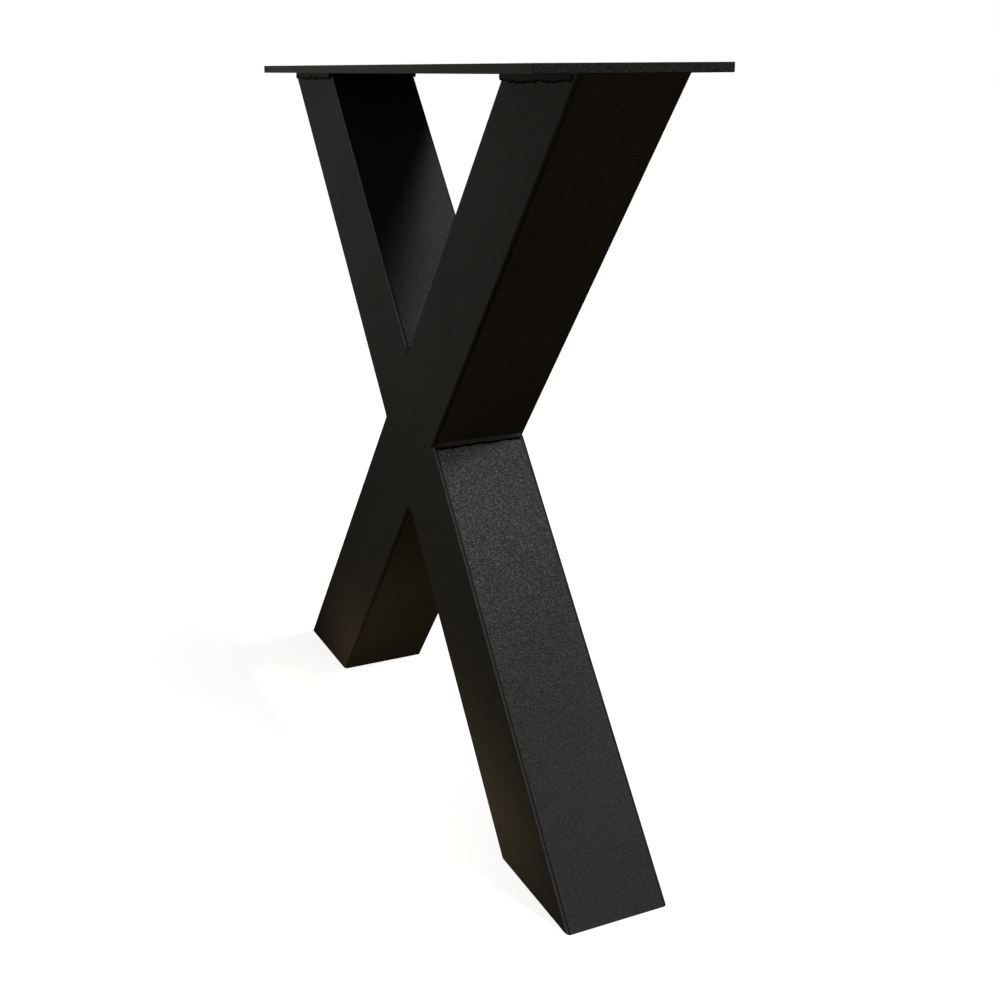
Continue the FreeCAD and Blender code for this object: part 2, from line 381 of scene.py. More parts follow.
def plate_edge_group() -> bpy.types.ShaderNodeTree:
    """Build the masks of a bar's narrow faces: its ends, for painted shade, and its long edges, for
    painted light.

    Returns:
        A group that gives a mask for each, and the streaks that the saw leaves on the ends.
    """
    tree, given, result = new_group(
        "plate_edges", {"Half Length": 0.3, "Half Depth": 0.1}, ["End", "Side", "Saw"])
    where = tree.add("ShaderNodeTexCoord").outputs["Object"]
    parts = tree.add("ShaderNodeSeparateXYZ")
    tree.join(where, parts.inputs["Vector"])
    for axis, limit, label in (("X", "Half Length", "End"), ("Y", "Half Depth", "Side")):
        from_middle = tree.work("ABSOLUTE", parts.outputs[axis], 0.0)
        to_face = tree.work("SUBTRACT", given[limit], from_middle)
        tree.join(tree.spread(to_face, 0.0001, 0.0006, 1.0, 0.0), result[label])
    stretched = tree.add("ShaderNodeVectorMath", operation="MULTIPLY")
    stretched.inputs[1].default_value = (1.0, 0.6, 1.4)
    tree.join(where, stretched.inputs[0])
    streaks = tree.add("ShaderNodeTexNoise", Scale=700.0, Detail=3.0, Roughness=0.7)
    tree.join(stretched.outputs["Vector"], streaks.inputs["Vector"])
    tree.join(tree.spread(streaks.outputs["Fac"], 0.35, 0.65, 0.0, 1.0), result["Saw"])
    return tree.base


def corner_highlight_shade_group() -> bpy.types.ShaderNodeTree:
    """Build painted highlight and painted shade lines along a tube's rounded corners.

    Returns:
        A group that gives two masks. On corners that face up, a thin line next to the front
        and back faces gets a painted highlight, broken up by noise, and the rest gets painted
        shade. On corners that face down, all of the rounding gets painted shade.
    """
    tree, given, result = new_group("corner_highlight_shade", {"Break Size": 0.006}, ["Rubbed", "Painted Shade"])
    where = tree.add("ShaderNodeTexCoord")
    parts = tree.add("ShaderNodeSeparateXYZ")
    tree.join(where.outputs["Normal"], parts.inputs["Vector"])
    to_front = tree.work("ABSOLUTE", parts.outputs["Y"], 0.0)
    band = tree.work("MULTIPLY", tree.spread(to_front, 0.5, 0.64, 0.0, 1.0),
                     tree.spread(to_front, 0.8, 0.92, 1.0, 0.0))
    # Painted highlight: the line next to the front and back faces, on corners that face up only.
    painted_highlight = tree.work("MULTIPLY", band, tree.spread(parts.outputs["Z"], -0.1, 0.1, 0.0, 1.0))
    breaks = tree.add("ShaderNodeTexNoise", Detail=3.0)
    tree.join(where.outputs["Object"], breaks.inputs["Vector"])
    tree.join(tree.work("DIVIDE", 1.0, given["Break Size"]), breaks.inputs["Scale"])
    held = tree.spread(breaks.outputs["Fac"], 0.35, 0.65, 0.5, 1.0)
    tree.join(tree.work("MULTIPLY", painted_highlight, held), result["Rubbed"])
    # Painted shade on the rest of the rounding, and on all of it where the corner faces down.
    rounding = tree.work("MULTIPLY", tree.spread(to_front, 0.03, 0.15, 0.0, 1.0),
                         tree.spread(to_front, 0.86, 0.96, 1.0, 0.0))
    side_line = tree.spread(to_front, 0.36, 0.5, 1.0, 0.0)
    faces_down = tree.spread(parts.outputs["Z"], -0.1, 0.1, 1.0, 0.0)
    painted_shade = tree.work("MULTIPLY", rounding, tree.work("MAXIMUM", side_line, faces_down))
    tree.join(painted_shade, result["Painted Shade"])
    return tree.base


def bead_toe_group() -> bpy.types.ShaderNodeTree:
    """Build the mask of painted shade on the part of a bead that faces the floor.

    Returns:
        A group that gives the mask, 1 along the bead's lower toe.
    """
    tree, given, result = new_group("bead_toe", {"Steepest": 0.1, "Flattest": 0.35}, ["Toe"])
    parts = tree.add("ShaderNodeSeparateXYZ")
    tree.join(tree.add("ShaderNodeTexCoord").outputs["Normal"], parts.inputs["Vector"])
    downward = tree.work("MULTIPLY", parts.outputs["Z"], -1.0)
    mask = tree.add("ShaderNodeMapRange")
    tree.join(downward, mask.inputs["Value"])
    tree.join(given["Steepest"], mask.inputs["From Min"])
    tree.join(given["Flattest"], mask.inputs["From Max"])
    tree.join(mask.outputs["Result"], result["Toe"])
    return tree.base


@dataclass(frozen=True)
class PowderCoat:
    """A textured satin black powder coat.

    Attributes:
        name: The material's name.
        dark: The coat's colour in the grain's hollows.
        light: Its colour on the grain's tops.
        painted_highlight: The painted highlight's colour, in a line along corners that face up.
        painted_shade: The painted shade's colour, on the rest of the corners' rounding.
        speck: The dust specks' colour.
        grain_size: The distance between grains.
        grain_depth: The grain's height for the bump.
        rough_low: Roughness on the grain's tops.
        rough_high: Roughness in its hollows.
        gloss: The specular level where the surface faces the viewer.
        gloss_fades: Where the grains start to hide the gloss and where they hide all of it,
            from 0 where the surface faces the viewer to 1 at a shallow angle.
        hollow_gloss: How glossy the grain's hollows are, as a share of the coat's mean gloss.
        has_corner_highlight_shade: Whether its corners get the painted highlight and painted shade.
        has_specks: Whether dust specks show in it.
    """

    name: str
    dark: tuple[float, float, float]
    light: tuple[float, float, float]
    # Painted highlight and painted shade colours for the corners' rounding.
    painted_highlight: tuple[float, float, float] = (0.082, 0.085, 0.088)
    painted_shade: tuple[float, float, float] = (0.016, 0.016, 0.016)
    speck: tuple[float, float, float] = (0.16, 0.15, 0.14)
    grain_size: float = 0.0017
    grain_depth: float = 0.0002
    rough_low: float = 0.2
    rough_high: float = 0.3
    gloss: float = 0.0175
    gloss_fades: tuple[float, float] = (0.13, 0.26)
    hollow_gloss: float = 0.12
    has_corner_highlight_shade: bool = True
    has_specks: bool = True

    def material(self, groups: dict[str, bpy.types.ShaderNodeTree]) -> bpy.types.Material:
        """Build the coat's material.

        Args:
            groups: The shader groups, by name.

        Returns:
            The material.
        """
        material = bpy.data.materials.new(self.name)
        material.use_nodes = True
        tree = ShaderTree(material.node_tree)
        shader = material.node_tree.nodes["Principled BSDF"]
        grain = tree.add("ShaderNodeGroup", node_tree=groups["powder_grain"])
        grain.inputs["Grain Size"].default_value = self.grain_size
        facing = tree.add("ShaderNodeLayerWeight", Blend=0.5).outputs["Facing"]
        gloss = tree.spread(facing, *self.gloss_fades, self.gloss, 0.0)
        height = grain.outputs["Height"]
        on_tops = tree.spread(height, 0.25, 0.75, self.hollow_gloss, 2 - self.hollow_gloss)
        tree.join(tree.work("MULTIPLY", gloss, on_tops), shader.inputs["Specular IOR Level"])
        tone = tree.work("ADD", tree.work("MULTIPLY", height, 0.75),
                         tree.work("MULTIPLY", grain.outputs["Cloud"], 0.25))
        colour = tree.blend(tone, self.dark, self.light)
        # Painted shade and painted highlight on the rounded corners, by which way each corner
        # faces.
        if self.has_corner_highlight_shade:
            corner_light_shade = tree.add("ShaderNodeGroup", node_tree=groups["corner_highlight_shade"])
            colour = tree.blend(corner_light_shade.outputs["Painted Shade"], colour, self.painted_shade)
            colour = tree.blend(corner_light_shade.outputs["Rubbed"], colour, self.painted_highlight)
        if self.has_specks:
            specks = tree.add("ShaderNodeGroup", node_tree=groups["dust_specks"])
            colour = tree.blend(specks.outputs["Mask"], colour, self.speck)
        colour = self.finish_colour(tree, groups, colour)
        tree.join(colour, shader.inputs["Base Color"])
        roughness = tree.spread(height, 0.0, 1.0, self.rough_high, self.rough_low)
        tree.join(roughness, shader.inputs["Roughness"])
        bump = tree.add("ShaderNodeBump", Strength=0.7, Distance=self.grain_depth)
        tree.join(height, bump.inputs["Height"])
        tree.join(bump.outputs["Normal"], shader.inputs["Normal"])
        return material

    def finish_colour(self, tree: ShaderTree, groups: dict[str, bpy.types.ShaderNodeTree],
                      colour: Socket) -> Socket:
        """Return the coat's colour with what one kind of coat adds to it: here, nothing."""
        return colour


@dataclass(frozen=True)
class PlateCoat(PowderCoat):
    """The coat on the mounting plate, with painted shade on its ends and painted light on its long
    edges.

    Attributes:
        end_shade_dark: The darker colour of the painted shade on the ends, in the saw streaks'
            hollows.
        end_shade_light: Its lighter colour, on the streaks' ridges.
        side_painted_light: The long edges' colour, lighter than the coat as painted light.
    """

    end_shade_dark: tuple[float, float, float] = (0.010, 0.0105, 0.010)
    end_shade_light: tuple[float, float, float] = (0.029, 0.030, 0.029)
    side_painted_light: tuple[float, float, float] = (0.047, 0.047, 0.045)

    def finish_colour(self, tree: ShaderTree, groups: dict[str, bpy.types.ShaderNodeTree],
                      colour: Socket) -> Socket:
        """Return the coat's colour with painted shade on the plate's ends and painted light on its
        long edges.
        """
        edges = tree.add("ShaderNodeGroup", node_tree=groups["plate_edges"])
        far_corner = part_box("mounting_plate")[1]
        edges.inputs["Half Length"].default_value = far_corner.x
        edges.inputs["Half Depth"].default_value = far_corner.y
        # Painted shade on the plate's ends, streaked like saw marks.
        cut = tree.blend(edges.outputs["Saw"], self.end_shade_dark, self.end_shade_light)
        # Painted light on the plate's long edges.
        with_sides = tree.blend(edges.outputs["Side"], colour, self.side_painted_light)
        return tree.blend(edges.outputs["End"], with_sides, cut)


@dataclass(frozen=True)
class WeldCoat(PowderCoat):
    """The coat on the beads, with painted shade along the part of each bead that faces the floor.

    Attributes:
        toe_painted_shade: The painted shade's colour along a bead's lower toe.
    """

    toe_painted_shade: tuple[float, float, float] = (0.004, 0.004, 0.004)

    def finish_colour(self, tree: ShaderTree, groups: dict[str, bpy.types.ShaderNodeTree],
                      colour: Socket) -> Socket:
        """Return the coat's colour with the painted shade line under the bead added."""
        # Painted shade where the bead's surface faces the floor.
        toe = tree.add("ShaderNodeGroup", node_tree=groups["bead_toe"])
        return tree.blend(toe.outputs["Toe"], colour, self.toe_painted_shade)


class Coats:
    """The object's finishes, one material for each slot of the record."""

    def __init__(self) -> None:
        """Build the shared groups and the three coats."""
        makers = (powder_grain_group, dust_speck_group, corner_highlight_shade_group, plate_edge_group,
                  bead_toe_group)
        groups = {group.name: group for group in (make() for make in makers)}
        tube = PowderCoat("tube_coat", dark=(0.026, 0.026, 0.025), light=(0.046, 0.046, 0.045))
        plate = PlateCoat("plate_coat", dark=(0.030, 0.030, 0.029), light=(0.044, 0.044, 0.043),
                          has_corner_highlight_shade=False)
        # The weld coat is the tube coat made darker, as painted shade on the beads.
        weld = WeldCoat("weld_coat", dark=(0.020, 0.020, 0.019), light=(0.031, 0.031, 0.030),
                        grain_size=0.0016, rough_low=0.36, rough_high=0.52,
                        has_corner_highlight_shade=False, has_specks=False)
        self.by_slot = {
            Slot.TUBE: tube.material(groups),
            Slot.PLATE: plate.material(groups),
            Slot.WELD: weld.material(groups),
        }

    def dress(self, piece: Piece, slot: Slot, node: str) -> None:
        """Coat a new piece, fix it to the body and let it stand for its node.

        Args:
            piece: The finished piece.
            slot: The record's slot that it takes its finish from.
            node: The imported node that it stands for.
        """
        piece.data.materials.clear()
        piece.data.materials.append(self.by_slot[slot])
        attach(piece, BODY)
        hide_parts(node)
        log.info("piece %s: %d faces", piece.name, len(piece.data.polygons))

    def recoat(self, node: str, slot: Slot) -> None:
        """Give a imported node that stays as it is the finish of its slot."""
        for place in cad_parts[node].material_slots:
            place.material = self.by_slot[slot]
        log.info("node %s: recoated", node)


@dataclass
class MountingPlate:
    """The flat plate on top, with its screw holes.

    Attributes:
        sizes: The leg's sizes.
        hole_diameter: The screw holes' width.
        hole_end_margin: From the plate's ends to the first and last holes.
        hole_inset: From the plate's long edges to the rows of holes.
        holes_per_row: How many holes a row has.
        edge_round: The rounding of the outer edges.
        rim_round: The rounding of the holes' rims.
    """

    sizes: LegSizes
    hole_diameter: float = 0.009
    hole_end_margin: float = 0.042
    hole_inset: float = 0.019
    holes_per_row: int = 4
    edge_round: float = 0.0008
    rim_round: float = 0.0004

    def build(self, coats: Coats) -> None:
        """Model the plate in place of its node, and coat it."""
        low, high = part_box("mounting_plate")
        plate = box_blank("mounting_plate_dressed", high - low, (low + high) / 2)
        pick(plate, Pick.EDGES, lambda edge: True)
        bpy.ops.mesh.bevel(offset=self.edge_round, segments=4)
        bpy.ops.object.mode_set(mode="OBJECT")
        holes = self.hole_centres(low, high)
        for at in holes:
            self.drill(plate, at, high.z - low.z)
        pick(plate, Pick.EDGES, lambda edge: self.is_hole_rim(plate, edge, holes, low.z, high.z))
        bpy.ops.mesh.bevel(offset=self.rim_round, segments=2)
        finish_shape(plate, 40)
        coats.dress(plate, Slot.PLATE, "mounting_plate")

    def hole_centres(self, low: Vector, high: Vector) -> list[Vector]:
        """Return the middles of the holes, in two rows along the plate."""
        first = low.x + self.hole_end_margin
        pitch = (high.x - low.x - 2 * self.hole_end_margin) / (self.holes_per_row - 1)
        middle = (low.z + high.z) / 2
        return [Vector((first + i * pitch, y, middle))
                for y in (low.y + self.hole_inset, high.y - self.hole_inset)
                for i in range(self.holes_per_row)]

    def is_hole_rim(self, plate: Piece, edge: bpy.types.MeshEdge, holes: list[Vector],
                    low: float, high: float) -> bool:
        """Tell whether an edge runs round a hole on either broad face."""
        first, last = edge_ends(plate, edge)
        on_face = any(abs(first.z - z) < 1e-6 and abs(last.z - z) < 1e-6 for z in (low, high))
        reach = self.hole_diameter / 2 + 1e-5
        return on_face and any((first - at).xy.length < reach and (last - at).xy.length < reach
                               for at in holes)

    def drill(self, plate: Piece, at: Vector, thickness: float) -> None:
        """Cut one screw hole through the plate."""
        clear_selection()
        bpy.ops.mesh.primitive_cylinder_add(
            vertices=48, radius=self.hole_diameter / 2, depth=3 * thickness, location=at)
        cutter = bpy.context.object
        hole = plate.modifiers.new("hole", "BOOLEAN")
        hole.operation = "DIFFERENCE"
        hole.object = cutter
        take_up(plate)
        bpy.ops.object.modifier_apply(modifier=hole.name)
        bpy.data.objects.remove(cutter)


@dataclass
class TubeCross:
    """The long tube and the two half tubes that meet it.

    Attributes:
        sizes: The leg's sizes.
        corner_segments: How many flats round a tube's corner.
        rim_round: The rounding of the feet's cut edges.
    """

    sizes: LegSizes
    corner_segments: int = 10
    rim_round: float = 0.0006

    def build(self, coats: Coats) -> None:
        """Model the three tubes in place of their nodes, and coat all the steel."""
        lean = self.sizes.lean
        side = Vector((math.cos(lean), 0.0, -math.sin(lean)))
        long_tube = self.hollow_section("long_tube_dressed", lean)
        self.cut_level(long_tube)
        coats.dress(long_tube, Slot.TUBE, "long_tube")
        for name, outward in (("upper_half_tube", side), ("lower_half_tube", -side)):
            half = self.hollow_section(f"{name}_dressed", -lean)
            take_up(half)
            bpy.ops.object.mode_set(mode="EDIT")
            trim(self.sizes.crossing - outward * self.sizes.tube_width / 2, outward)
            self.cut_level(half)
            coats.dress(half, Slot.TUBE, name)
        for foot in ("left_foot_plate", "right_foot_plate"):
            coats.recoat(foot, Slot.TUBE)
        for face in ("front", "back"):
            coats.recoat(f"{face}_upper_seam_weld", Slot.TUBE)
            coats.recoat(f"{face}_lower_seam_weld", Slot.TUBE)

    def hollow_section(self, name: str, turn: float) -> Piece:
        """Model a rounded square tube through the crossing, longer than the leg is high.

        Args:
            name: The piece's name.
            turn: Its lean from upright, towards +X.

        Returns:
            The leaning tube, still uncut.
        """
        sizes = self.sizes
        reach = 2 * (sizes.leg_height / math.cos(turn))
        tube = box_blank(name, Vector((sizes.tube_width, sizes.tube_width, reach)), sizes.crossing)
        pick(tube, Pick.FACES, lambda face: abs(face.normal.z) > 0.9)
        bpy.ops.mesh.delete(type="FACE")
        pick(tube, Pick.EDGES, lambda edge: self.is_upright(tube, edge))
        bpy.ops.mesh.bevel(offset=sizes.corner_radius, segments=self.corner_segments)
        bpy.ops.object.mode_set(mode="OBJECT")
        wall = tube.modifiers.new("wall", "SOLIDIFY")
        wall.thickness = sizes.wall
        wall.offset = -1
        bpy.ops.object.modifier_apply(modifier=wall.name)
        tube.matrix_world = Matrix.Translation(sizes.crossing) @ Matrix.Rotation(
            turn, 4, "Y") @ Matrix.Translation(-sizes.crossing)
        bpy.ops.object.transform_apply()
        return tube

    @staticmethod
    def is_upright(piece: Piece, edge: bpy.types.MeshEdge) -> bool:
        """Tell whether an edge runs along Z."""
        first, last = edge_ends(piece, edge)
        return (last - first).cross(UP).length < 1e-6

    def cut_level(self, tube: Piece) -> None:
        """Cut a tube at the floor and under the plate, and round the edges of its foot."""
        take_up(tube)
        bpy.ops.object.mode_set(mode="EDIT")
        trim(Vector(), -UP)
        trim(UP * self.sizes.leg_height, UP)
        pick(tube, Pick.EDGES, lambda edge: self.is_foot_rim(tube, edge))
        bpy.ops.mesh.bevel(offset=self.rim_round, segments=3)
        bpy.ops.object.mode_set(mode="OBJECT")
        finish_shape(tube, 35)

    def is_foot_rim(self, tube: Piece, edge: bpy.types.MeshEdge) -> bool:
        """Tell whether an edge lies on the floor along the outside of a foot."""
        first, last = edge_ends(tube, edge)
        middle = (first + last) / 2
        if max(abs(first.z), abs(last.z)) > 1e-6:
            return False
        inside = self.sizes.tube_width / 2 - self.sizes.wall
        from_foot = abs(middle.x) - self.sizes.foot_offset
        in_x = abs(from_foot) < (inside + 1e-4) / math.cos(self.sizes.lean)
        return not (in_x and abs(middle.y) < inside + 1e-4)


@dataclass(frozen=True)
class BeadRun:
    """One straight run of weld in a corner between two faces.

    Attributes:
        start: The corner's first point.
        finish: Its last point.
        opening: From the corner, midway between the two faces.
        half_angle: Between opening and either face.
        seed: Which of the possible uneven beads this is.
        outward: The level way out of the tube's face that the bead lies on, if it wraps a corner.
        cut_start: Whether its start is cut to a corner or level, and not rounded off.
        cut_finish: The same for its finish.
        leg: How far the bead reaches down the tube's face.
        reach: How far it reaches out of that face, as a share of leg.
        bulge: How far the bead's face stands out, as a share of leg.
        sunk: How deep it is fused into both faces, which fills the groove of their rounding.
        start_size: Its size at the start, as a share of leg.
        lumps: How uneven the bead is, as a share of its size.
    """

    start: Vector
    finish: Vector
    opening: Vector
    half_angle: float
    seed: int
    outward: Vector = Vector()
    cut_start: bool = False
    cut_finish: bool = False
    leg: float = 0.005
    reach: float = 1.0
    bulge: float = 0.7
    sunk: float = 0.0
    start_size: float = 1.0
    lumps: float = 0.14

    @property
    def along(self) -> Vector:
        """The run's direction."""
        return (self.finish - self.start).normalized()

    @property
    def across(self) -> Vector:
        """From one face to the other, square to the run and to the opening."""
        return self.opening.cross(self.along)

    @property
    def flattening(self) -> list[float]:
        """What a full bead's lengths are scaled by, so that it stays low on the tube's face."""
        return [1 - (1 - self.reach) * abs(part) for part in self.outward]

    @property
    def first(self) -> float:
        """Where the bead starts along the run, before it is cut to its corner."""
        return -1.5 * self.leg if self.cut_start else 0.0

    @property
    def last(self) -> float:
        """Where the bead ends along the run, before it is cut to its corner."""
        length = (self.finish - self.start).length
        return length + 1.5 * self.leg if self.cut_finish else length

    @property
    def place(self) -> Matrix:
        """From a bead along Y that opens towards X to the run's place."""
        turn = Matrix((self.opening, self.along, self.across)).transposed()
        return Matrix.Translation(self.start) @ turn.to_4x4()


@dataclass
class WeldSet:
    """The fillet welds: in the four corners of the crossing and under the plate.

    Attributes:
        sizes: The leg's sizes.
        upper_notch_leg: How far the bead above the crossing reaches up both tubes.
        lower_notch_leg: How far the bead below it reaches down them.
        ripple_pitch: From one ripple of a bead to the next.
        steps_per_ripple: How many sections shape a ripple.
        ripple: How much a ripple swells the bead, as a share of its size.
        drift_kept: How much of its unevenness the bead keeps from one section to the next.
        drift_added: How much of its lumps it takes up at each.
        blunt: The size of an end that is rounded off, as a share of the bead's size.
        crescent: How far a ripple's middle runs ahead of its ends.
        waist_margin: How far the beads beside the crossing stop short of the tubes' faces.
        notch_margin: How far the beads above and below it, cut nearly level, stop short.
        end_margin: How far the beads under the plate stop short of its ends.
    """

    sizes: LegSizes
    upper_notch_leg: float = 0.0062
    lower_notch_leg: float = 0.0046
    ripple_pitch: float = 0.0026
    steps_per_ripple: int = 4
    ripple: float = 0.022
    drift_kept: float = 0.93
    drift_added: float = 0.35
    blunt: float = 0.35
    crescent: float = 0.0012
    waist_margin: float = 0.003
    notch_margin: float = 0.0004
    end_margin: float = 0.009

    def build(self, coats: Coats) -> None:
        """Model every weld in place of its node, and coat it."""
        for node, run in self.corner_runs().items():
            coats.dress(self.lay(f"{node}_dressed", [run]), Slot.WELD, node)
        for node, runs in self.plate_runs().items():
            coats.dress(self.lay(f"{node}_dressed", runs), Slot.WELD, node)

    def corner_runs(self) -> dict[str, BeadRun]:
        """Return the runs between the tubes, each laid from the back to the front.

        Returns:
            The runs, by the node that each stands for.
        """
        sizes = self.sizes
        aside = Vector((sizes.half_footprint, 0.0, 0.0))
        above = UP * (sizes.tube_width / 2 / math.sin(sizes.lean))
        runs = {}
        for node, way, seed in (("right_waist_weld", aside, 11), ("left_waist_weld", -aside, 12)):
            depth = Vector((0.0, sizes.tube_width / 2 - self.waist_margin, 0.0))
            runs[node] = BeadRun(sizes.crossing + way + depth, sizes.crossing + way - depth,
                                 way.normalized(), math.pi / 2 - sizes.lean, seed,
                                 bulge=0.45, start_size=0.8)
        for node, way, seed, leg in (("upper_notch_weld", above, 13, self.upper_notch_leg),
                                     ("lower_notch_weld", -above, 14, self.lower_notch_leg)):
            depth = Vector((0.0, sizes.tube_width / 2 - self.notch_margin, 0.0))
            runs[node] = BeadRun(sizes.crossing + way + depth, sizes.crossing + way - depth,
                                 way.normalized(), sizes.lean, seed, cut_start=True,
                                 cut_finish=True, leg=leg, bulge=0.2, sunk=0.0021, lumps=0.08)
        return runs

    def plate_runs(self) -> dict[str, list[BeadRun]]:
        """Return the runs under the plate: round the front, inner and back side of each tube.

        Returns:
            The runs, by the node that they stand for.
        """
        sizes = self.sizes
        half = sizes.tube_width / 2
        below_plate = (math.pi / 2 - sizes.lean) / 2
        runs = {}
        for side, node, seed in ((1, "right_plate_weld", 31), (-1, "left_plate_weld", 41)):
            inner = side * (sizes.foot_offset - sizes.half_footprint)
            outer = side * (sizes.foot_offset + sizes.half_footprint - self.end_margin)
            front, back, inward = Vector((0, -1, 0)), Vector((0, 1, 0)), Vector((-side, 0, 0))
            top = UP * sizes.leg_height
            corners = {way.y: (top + way * half) for way in (front, back)}
            inner_x, outer_x = Vector((inner, 0, 0)), Vector((outer, 0, 0))
            runs[node] = [
                BeadRun(corners[way.y] + inner_x, corners[way.y] + outer_x, (way - UP).normalized(),
                        math.pi / 4, seed + place, way, cut_start=True, reach=0.33, bulge=0.9,
                        lumps=0.24)
                for place, way in enumerate((front, back))]
            opening = inward * math.cos(below_plate) - UP * math.sin(below_plate)
            runs[node].append(
                BeadRun(corners[-1] + inner_x, corners[1] + inner_x, opening, below_plate, seed + 2,
                        inward, cut_start=True, cut_finish=True, reach=0.2))
        return runs

    def lay(self, name: str, runs: list[BeadRun]) -> Piece:
        """Model the runs of one weld and join them into a piece.

        Args:
            name: The piece's name.
            runs: Its runs.

        Returns:
            The finished piece.
        """
        beads = [self.bead(f"{name}_{place}", run) for place, run in enumerate(runs)]
        clear_selection()
        for bead in beads:
            bead.select_set(True)
        bpy.context.view_layer.objects.active = beads[0]
        if len(beads) > 1:
            bpy.ops.object.join()
        weld = bpy.context.object
        weld.name = name
        finish_shape(weld, 50)
        return weld

    def bead(self, name: str, run: BeadRun) -> Piece:
        """Model one bead, draw it out along its run and cut it to its corner.

        Args:
            name: The bead's name.
            run: Where it goes, and how uneven it is.

        Returns:
            The bead, in its place.
        """
        bead = self.section(name, run)
        self.draw_out(run)
        bpy.ops.object.mode_set(mode="OBJECT")
        bead.matrix_world = run.place
        bpy.ops.object.transform_apply()
        bpy.ops.object.mode_set(mode="EDIT")
        inward = -math.sin(run.half_angle) * run.opening
        for face in (1, -1):
            into_face = inward + face * math.cos(run.half_angle) * run.across
            trim(run.start + run.sunk * into_face, into_face)
        bpy.ops.mesh.select_all(action="SELECT")
        bpy.ops.transform.resize(value=run.flattening, center_override=run.start)
        if run.cut_start:
            trim(run.start, -run.along - run.outward)
        if run.cut_finish:
            trim(run.finish, run.along - run.outward)
        bpy.ops.object.mode_set(mode="OBJECT")
        return bead

    def section(self, name: str, run: BeadRun) -> Piece:
        """Add a disc through both toes of a bead, its middle pulled ahead of its rim.

        Args:
            name: The new object's name.
            run: The run that the bead is for.

        Returns:
            The disc, in edit mode with its face selected.
        """
        half_chord = run.leg * math.sin(run.half_angle)
        rise = run.bulge * run.leg
        radius = (half_chord ** 2 + rise ** 2) / (2 * rise)
        centre = run.leg * math.cos(run.half_angle) + rise - radius
        clear_selection()
        bpy.ops.mesh.primitive_circle_add(vertices=36, radius=radius, fill_type="NGON",
                                          location=(centre, run.first, 0.0),
                                          rotation=(math.pi / 2, 0.0, 0.0))
        disc = bpy.context.object
        disc.name = name
        bpy.ops.object.transform_apply()
        shares = (0.35, 0.6, 0.8, 0.93)
        for share in shares:
            pick(disc, Pick.VERTICES, lambda vertex: vertex.co.x > centre + share * radius)
            bpy.ops.transform.translate(value=(0.0, self.crescent / len(shares), 0.0))
        pick(disc, Pick.FACES, lambda face: True)
        return disc

    def draw_out(self, run: BeadRun) -> None:
        """Extrude the selected section along a run, and swell or thin it at each step."""
        chance = random.Random(run.seed)
        length = run.last - run.first
        steps = round(length / self.ripple_pitch * self.steps_per_ripple)
        size, drift = 1.0, 0.0
        for place in range(steps + 1):
            share = place / steps
            swell = self.ripple * math.cos(2 * math.pi * place / self.steps_per_ripple)
            lump = chance.uniform(-run.lumps, run.lumps)
            drift = self.drift_kept * drift + self.drift_added * lump
            wanted = run.start_size + (1 - run.start_size) * share + swell + drift
            if not run.cut_start:
                wanted *= self.rounding(share * length, run)
            if not run.cut_finish:
                wanted *= self.rounding((1 - share) * length, run)
            if place:
                step = {"value": (0, length / steps, 0)}
                bpy.ops.mesh.extrude_region_move(TRANSFORM_OT_translate=step)
            middle = (0.0, run.first + share * length, 0.0)
            grown = wanted / size
            bpy.ops.transform.resize(value=(grown, 1.0, grown), center_override=middle)
            size = wanted

    def rounding(self, from_end: float, run: BeadRun) -> float:
        """Return a bead's size at a distance from its rounded end, as a share of the full one."""
        short = max(0.0, 1 - from_end / run.leg)
        return self.blunt + (1 - self.blunt) * math.sqrt(1 - short ** 2)


@dataclass(frozen=True)
class SoftLamp:
    """A rectangular area lamp aimed at a point.

    Attributes:
        name: The lamp's name.
        at: Where it stands.
        aim: What it is turned to.
        width: Its level width.
        height: Its height.
        power: Its power in watts.
        colour: Its colour.
    """

    name: str
    at: tuple[float, float, float]
    aim: tuple[float, float, float]
    width: float
    height: float
    power: float
    colour: tuple[float, float, float] = (1.0, 1.0, 1.0)

    def place(self) -> None:
        """Add the lamp to the scene."""
        data = bpy.data.lights.new(self.name, "AREA")
        data.shape = "RECTANGLE"
        data.size = self.width
        data.size_y = self.height
        data.energy = self.power
        data.color = self.colour
        lamp = bpy.data.objects.new(self.name, data)
        lamp.location = self.at
        away = Vector(self.at) - Vector(self.aim)
        lamp.rotation_euler = away.to_track_quat("Z", "Y").to_euler()
        lamp.visible_camera = False
        bpy.context.scene.collection.objects.link(lamp)


